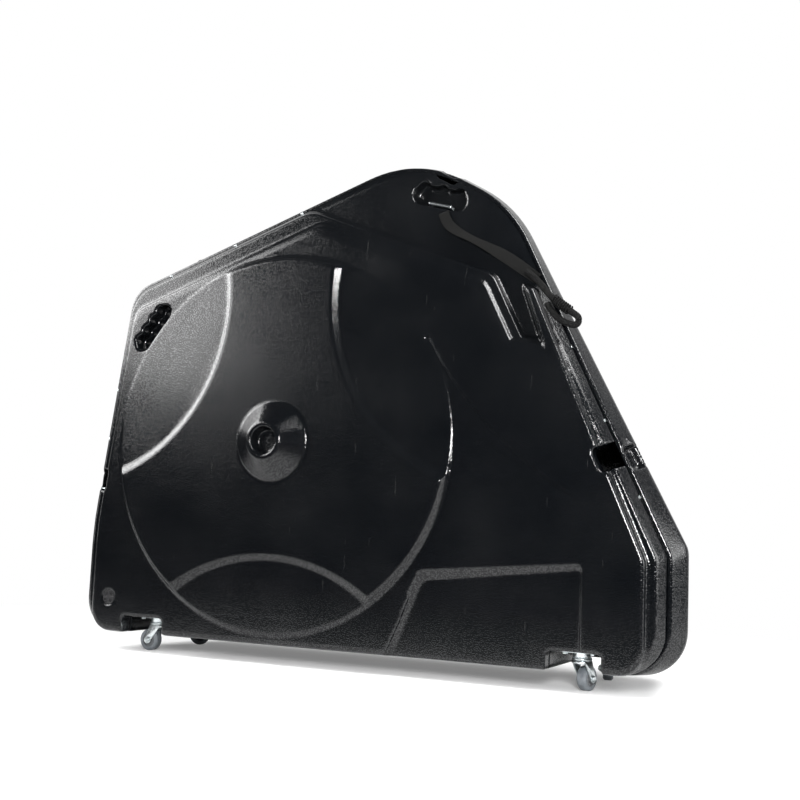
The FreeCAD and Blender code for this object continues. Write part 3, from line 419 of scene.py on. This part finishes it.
def merged_copy(node):
    piece = bpy.data.objects.new(node + "_made", nodes[node].data.copy())
    scene.collection.objects.link(piece)
    activate(piece)
    merge_points(distance=1e-5)
    return piece


def apply_modifier(piece, kind, **settings):
    modifier = piece.modifiers.new(kind.lower(), kind)
    for key, value in settings.items():
        setattr(modifier, key, value)
    bpy.ops.object.modifier_apply(modifier=modifier.name)


def moulded(node, material, cell, passes, share):
    """Shell with the soft edges of a moulded sheet: evenly divided, eased, then thinned where it is flat."""
    piece = merged_copy(node)
    apply_modifier(piece, "REMESH", mode="VOXEL", voxel_size=cell)
    apply_modifier(piece, "SMOOTH", factor=0.5, iterations=passes)
    apply_modifier(piece, "DECIMATE", ratio=share)
    bpy.ops.object.shade_smooth_by_angle(angle=math.radians(50))
    stand_for(piece, node, material)


def edged(node, material, width, segments=2):
    """Machined, pressed or cut piece with its edges broken."""
    piece = merged_copy(node)
    bpy.ops.object.mode_set(mode="EDIT")
    bpy.ops.mesh.dissolve_limited(angle_limit=math.radians(1.0))
    bpy.ops.object.mode_set(mode="OBJECT")
    apply_modifier(piece, "BEVEL", width=width, segments=segments, limit_method="ANGLE",
                   angle_limit=math.radians(35))
    bpy.ops.object.shade_smooth_by_angle(angle=math.radians(40))
    stand_for(piece, node, material)
    return piece


moulded("lid_shell", case_black, cell=0.0026, passes=3, share=0.32)
moulded("base_shell", case_black, cell=0.0031, passes=3, share=0.24)
edged("rim_tongues", case_black, FITTING_EDGE)
edged("corner_plug", plug_black, PLASTIC_EDGE)
for fastener in ("tongue_rivets", "strap_staple", "caster_bolts", "caster_nuts", "caster_backings"):
    edged(fastener, bright_zinc, FASTENER_EDGE)
for caster in CASTERS:
    for part in ("plate", "bearing", "fork", "kingpin", "axle", "axle_nut"):
        edged(caster + "_" + part, bright_zinc, FITTING_EDGE)
    edged(caster + "_wheel_core", wheel_grey, PLASTIC_EDGE)
    edged(caster + "_tyre", hard_tyre, TYRE_EDGE, segments=3)


# Foam sheets

def make_foam(node):
    """Foam sheet with cut edges that have eased round."""
    sheet = edged(node, open_foam, FOAM_EDGE, segments=4)


make_foam("base_foam")
make_foam("lid_foam")


# Pull strap, hand loop and the winding on its grip

# The strap's route is x and z, and the loop's is x, y and z: x and z from the hold's centre
STRAP_ROUTE = ((10, -28), (16, -47), (35, -63), (60, -77), (90, -93), (119, -109), (153, -132), (184, -156))
STRAP_SEAT = 22.0
STRAP_LIFTS = (0.0, 0.5, 3.0, 5.0, 3.5, 0.5, 0.0, 0.0)
STRAP_TILTS = (90, 88, 70, 48, 55, 80, 90, 90)
STRAP_WIDTH_SHARES = (0.95, 0.9, 0.8, 0.72, 0.85, 1.0, 1.0, 0.9)
STRAP_HALF_WIDTH = 0.0105
STRAP_HALF_THICKNESS = 0.0010
LOOP_ROUTE = ((166, 15.5, -142), (185, 15.5, -158), (202, 8, -177), (213, 5, -191), (251, 4, -219),
              (262, 4, -227), (259, 4, -240), (243, 4, -237), (218, 5, -222), (207, 6, -201))
LOOP_DIAMETER = 0.011
GRIP_START, GRIP_END = 3, 4
WINDING_TURNS = 8
WINDING_PITCH = 0.0042
WINDING_RADIUS = 0.0072
WINDING_WIRE_RADIUS = 0.00145


def from_hold(x, y, z):
    """Place measured across from the centre of the head hand hold."""
    return case_point(HEAD_HOLD[0] + x, y, HEAD_HOLD[1] + z)


def route_curve(name, points, tilts=None, widths=None):
    """Smooth open curve with the route's points as its control points."""
    curve = bpy.data.curves.new(name, "CURVE")
    curve.dimensions = "3D"
    curve.twist_mode = "Z_UP"
    curve.resolution_u = 12
    spline = curve.splines.new("NURBS")
    spline.points.add(len(points) - 1)
    for i, place in enumerate(points):
        spline.points[i].co = (*place, 1)
        spline.points[i].tilt = math.radians(tilts[i]) if tilts else 0
        spline.points[i].radius = widths[i] if widths else 1
    spline.order_u = 3
    spline.use_endpoint_u = True
    piece = bpy.data.objects.new(name, curve)
    scene.collection.objects.link(piece)
    return piece


def line_of(curve):
    """Points along a curve that has no thickness yet."""
    mesh = bpy.data.meshes.new_from_object(curve)
    return [vertex.co.copy() for vertex in mesh.vertices]


def length_of(line):
    return sum((b - a).length for a, b in zip(line, line[1:]))


def thicken(curve, radius, roundness):
    """Give a route a round section and closed ends."""
    curve.data.bevel_depth = radius
    curve.data.bevel_resolution = roundness
    curve.data.use_fill_caps = True


def make_loop():
    """Hand loop: a round cord folded back on itself."""
    loop = route_curve("hand_loop_cord", [from_hold(*p) for p in LOOP_ROUTE])
    line = line_of(loop)
    thicken(loop, LOOP_DIAMETER / 2, roundness=6)
    stand_for(loop, "hand_loop", loop_cord)
    return loop, line


def make_winding(line):
    """Thin cord wound tightly round the grip of the hand loop."""
    per_turn = 16
    # The spline cuts a little inside its control points, and the loop's returning strand lies past the grip
    outward_share, samples_past_middle = 1.02, 16
    grip = (from_hold(*LOOP_ROUTE[GRIP_START]) + from_hold(*LOOP_ROUTE[GRIP_END])) / 2
    middle = min(range(len(line)), key=lambda i: (line[i] - grip).length)
    axis = (line[middle + 1] - line[middle - 1]).normalized()
    side = axis.cross(Vector((0, 1, 0))).normalized()
    other = axis.cross(side)
    reach = WINDING_TURNS * WINDING_PITCH
    near = [p for p in line[:middle + samples_past_middle] if (p - line[middle]).length < reach]
    points = []
    for i in range(WINDING_TURNS * per_turn + 1):
        away = WINDING_PITCH * (i / per_turn - WINDING_TURNS / 2)
        centre = min(near, key=lambda p: abs((p - line[middle]).dot(axis) - away))
        centre = centre + axis * (away - (centre - line[middle]).dot(axis))
        angle = 2 * math.pi * i / per_turn
        outward = side * math.cos(angle) + other * math.sin(angle)
        points.append(centre + outward * WINDING_RADIUS * outward_share)
    winding = route_curve("grip_winding_cord", points)
    thicken(winding, WINDING_WIRE_RADIUS, roundness=4)
    stand_for(winding, "grip_winding", grip_cord)
    return winding


def lay_along(piece, line):
    """UV map in metres: along a line, and across it."""
    layer = piece.data.uv_layers.new(name="along")
    spots = []
    for vertex in piece.data.vertices:
        i = min(range(len(line)), key=lambda k: (line[k] - vertex.co).length_squared)
        away = vertex.co - line[i]
        spots.append((length_of(line[:i + 1]), math.copysign(away.length, away.z)))
    for corner in piece.data.loops:
        layer.data[corner.index].uv = spots[corner.vertex_index]


def strap_section():
    """Outline of the webbing across its length, thinner towards its two edges."""
    steps, thinning_share, steepness = 12, 0.35, 6
    section = bpy.data.curves.new("strap_section", "CURVE")
    outline = section.splines.new("POLY")
    across = [STRAP_HALF_WIDTH * (2 * i / steps - 1) for i in range(steps + 1)]
    corners = [(a, STRAP_HALF_THICKNESS * (1 - thinning_share * (a / STRAP_HALF_WIDTH) ** steepness))
               for a in across]
    corners += [(a, -b) for a, b in reversed(corners)]
    outline.points.add(len(corners) - 1)
    for point, (a, b) in zip(outline.points, corners):
        point.co = (a, b, 0, 1)
    outline.use_cyclic_u = True
    profile = bpy.data.objects.new("strap_section", section)
    scene.collection.objects.link(profile)
    return profile


def make_strap():
    """Flat webbing from the hold, gathered and turned on edge where it leaves it."""
    profile = strap_section()
    points = [from_hold(x, STRAP_SEAT - lift, z) for (x, z), lift in zip(STRAP_ROUTE, STRAP_LIFTS)]
    strap = route_curve("pull_strap_webbing", points, STRAP_TILTS, STRAP_WIDTH_SHARES)
    line = line_of(strap)
    strap.data.bevel_mode = "OBJECT"
    strap.data.bevel_object = profile
    strap.data.use_fill_caps = True
    activate(strap)
    bpy.ops.object.convert(target="MESH")
    bpy.data.objects.remove(profile)
    bpy.ops.object.shade_smooth_by_angle(angle=math.radians(60))
    strap = bpy.context.object
    merge_points(distance=1e-6)
    lay_along(strap, line)
    stand_for(strap, "pull_strap", strap_webbing)


loop, loop_line = make_loop()
winding = make_winding(loop_line)
make_strap()


# Floor, surroundings and light

WHITE = (1, 1, 1, 1)
PAPER_WHITE = (0.82, 0.82, 0.82, 1)
UNLIT_PAPER = (0.03, 0.03, 0.03, 1)
FLOOR_SIZE = 24


def make_floor():
    """White paper floor: it goes plain white far from the case, and shows dark in gloss where it is unlit."""
    deselect()
    bpy.ops.mesh.primitive_plane_add(size=FLOOR_SIZE, location=(0, 0, 0))
    floor = bpy.context.object
    floor.name = "paper_floor"
    material = bpy.data.materials.new("white_paper")
    material.use_nodes = True
    tree = material.node_tree
    paper = tree.nodes["Principled BSDF"]
    paper.inputs["Base Color"].default_value = PAPER_WHITE
    paper.inputs["Roughness"].default_value = 0.9
    paper.inputs["Specular IOR Level"].default_value = 0.1
    where = add(tree, "ShaderNodeTexCoord")
    axes = add(tree, "ShaderNodeSeparateXYZ")
    rays = add(tree, "ShaderNodeLightPath")
    far = soft_step(tree, start=-0.32, end=-0.7)
    dark_seen = add(tree, "ShaderNodeMath", operation="MULTIPLY")
    dark = add(tree, "ShaderNodeBsdfDiffuse", {"Color": UNLIT_PAPER})
    faded = add(tree, "ShaderNodeMixShader")
    glow = add(tree, "ShaderNodeEmission", {"Color": WHITE, "Strength": 0.2})
    lit = add(tree, "ShaderNodeAddShader")
    reach = add(tree, "ShaderNodeVectorMath", operation="LENGTH")
    beyond = soft_step(tree, start=0.7, end=1.5)
    white = add(tree, "ShaderNodeEmission", {"Color": WHITE, "Strength": 1.0})
    paled = add(tree, "ShaderNodeMixShader")
    shown = add(tree, "ShaderNodeMixShader")
    link = tree.links.new
    link(where.outputs["Object"], axes.inputs["Vector"])
    link(axes.outputs["Y"], far.inputs["Value"])
    link(far.outputs["Result"], dark_seen.inputs[0])
    link(rays.outputs["Is Glossy Ray"], dark_seen.inputs[1])
    link(dark_seen.outputs[0], faded.inputs["Fac"])
    link(paper.outputs[0], faded.inputs[1])
    link(dark.outputs[0], faded.inputs[2])
    link(paper.outputs[0], lit.inputs[0])
    link(glow.outputs[0], lit.inputs[1])
    link(where.outputs["Object"], reach.inputs[0])
    link(reach.outputs["Value"], beyond.inputs["Value"])
    link(beyond.outputs["Result"], paled.inputs["Fac"])
    link(lit.outputs[0], paled.inputs[1])
    link(white.outputs[0], paled.inputs[2])
    link(rays.outputs["Is Camera Ray"], shown.inputs["Fac"])
    link(faded.outputs[0], shown.inputs[1])
    link(paled.outputs[0], shown.inputs[2])
    link(shown.outputs[0], tree.nodes["Material Output"].inputs["Surface"])
    floor.data.materials.append(material)


def make_surroundings():
    """White backdrop behind the case and an unlit studio in front of it."""
    diffuse_light, glossy_light = 0.2, 0.01
    world = bpy.data.worlds.new("studio")
    scene.world = world
    world.use_nodes = True
    tree = world.node_tree
    unlit = tree.nodes["Background"]
    where = add(tree, "ShaderNodeTexCoord")
    axes = add(tree, "ShaderNodeSeparateXYZ")
    rays = add(tree, "ShaderNodeLightPath")
    behind = soft_step(tree, start=-0.1, end=0.4)
    mirrored = add(tree, "ShaderNodeMath", operation="MULTIPLY")
    through = add(tree, "ShaderNodeMath", operation="MAXIMUM")
    seen = add(tree, "ShaderNodeMath", operation="MAXIMUM")
    dim = add(tree, "ShaderNodeMapRange", {"To Min": diffuse_light, "To Max": glossy_light})
    white = add(tree, "ShaderNodeBackground", {"Color": WHITE, "Strength": 1.0})
    mix = add(tree, "ShaderNodeMixShader")
    link = tree.links.new
    link(where.outputs["Generated"], axes.inputs["Vector"])
    link(axes.outputs["Y"], behind.inputs["Value"])
    link(behind.outputs["Result"], mirrored.inputs[0])
    link(rays.outputs["Is Glossy Ray"], mirrored.inputs[1])
    link(rays.outputs["Is Camera Ray"], through.inputs[0])
    link(rays.outputs["Is Transmission Ray"], through.inputs[1])
    link(through.outputs[0], seen.inputs[0])
    link(mirrored.outputs[0], seen.inputs[1])
    link(rays.outputs["Is Glossy Ray"], dim.inputs["Value"])
    unlit.inputs["Color"].default_value = WHITE
    link(dim.outputs["Result"], unlit.inputs["Strength"])
    link(seen.outputs[0], mix.inputs["Fac"])
    link(unlit.outputs[0], mix.inputs[1])
    link(white.outputs[0], mix.inputs[2])
    link(mix.outputs[0], tree.nodes["World Output"].inputs["Surface"])


def area_light(name, place, target, width, height, watts):
    """Rectangular lamp at a place, turned to a target."""
    data = bpy.data.lights.new(name, "AREA")
    data.shape = "RECTANGLE"
    data.size, data.size_y = width, height
    data.energy = watts
    lamp = bpy.data.objects.new(name, data)
    scene.collection.objects.link(lamp)
    lamp.location = place
    lamp.rotation_euler = (Vector(target) - Vector(place)).to_track_quat("-Z", "Y").to_euler()


make_floor()
make_surroundings()
area_light("left_wall_light", place=(-2.45, -1.4, 1.85), target=(0, -1.4, 1.85),
           width=3.3, height=1.8, watts=195)
area_light("left_fringe_light", place=(-2.46, -3.2, 1.3), target=(0, -3.2, 1.3),
           width=0.7, height=0.6, watts=6)
area_light("front_light", place=(1.15, -2.15, 0.75), target=(0, 0, 0.7),
           width=0.45, height=0.45, watts=65)
area_light("right_light", place=(2.25, -0.5, 0.75), target=(0.2, -0.2, 0.5),
           width=1.0, height=1.1, watts=30)
area_light("top_right_light", place=(1.45, -0.5, 2.2), target=(0.3, 0.0, 0.6),
           width=1.2, height=1.2, watts=80)
